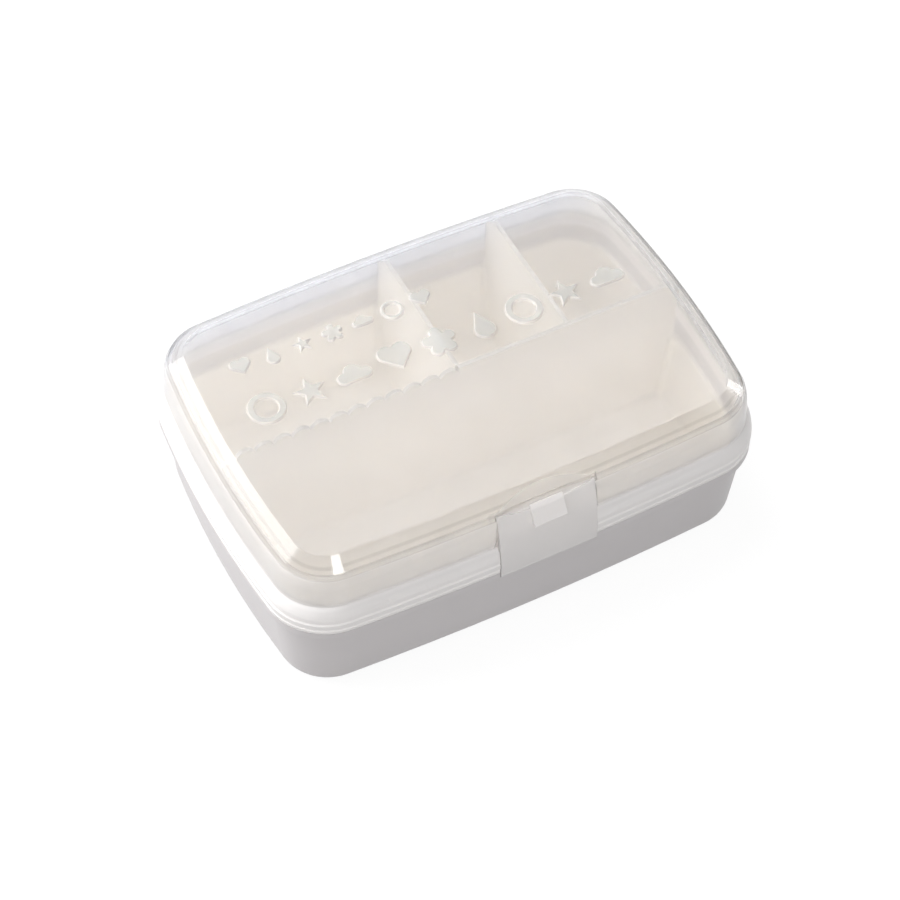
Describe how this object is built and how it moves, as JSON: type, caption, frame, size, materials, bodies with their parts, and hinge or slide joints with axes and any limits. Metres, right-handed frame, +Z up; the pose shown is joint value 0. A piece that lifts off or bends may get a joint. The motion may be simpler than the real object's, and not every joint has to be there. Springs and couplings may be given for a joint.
{
  "type": "compartment storage box",
  "caption": "Low oblong storage box with a frosted bevelled lid on rear clips, a front thumb latch, and a cream liner split by upright dividers, one scalloped.",
  "frame": {"origin": "middle of the flat underside, on the surface that the box stands on", "axes": "+X along the length, +Y towards the rear hinge, +Z up"},
  "size_m": [0.18, 0.1322, 0.0637],
  "materials": {
    "base_white": "satin moulded polypropylene",
    "liner_cream": "satin moulded polypropylene",
    "frosted_clear": "frosted see-through polypropylene",
    "seal_clear": "milky silicone"
  },
  "bodies": {
    "base": {"base": "base_white", "tray": "liner_cream", "long_divider": "liner_cream", "cross_divider_mid": "liner_cream", "cross_divider_right": "liner_cream"},
    "lid": {"lid": "frosted_clear", "lid_seal": "seal_clear"},
    "latch": {"latch": "frosted_clear"}
  },
  "joints": [
    {"name": "lid_hinge", "type": "hinge", "parent": "base", "child": "lid", "pos_m": [0, 0.0666, 0.033], "axis": [-1, 0, 0], "range_deg": [0, 110]},
    {"name": "latch_hinge", "type": "hinge", "parent": "base", "child": "latch", "pos_m": [0.0017, -0.0614, 0.0332], "axis": [1, 0, 0], "range_deg": [0, 120]}
  ]
}
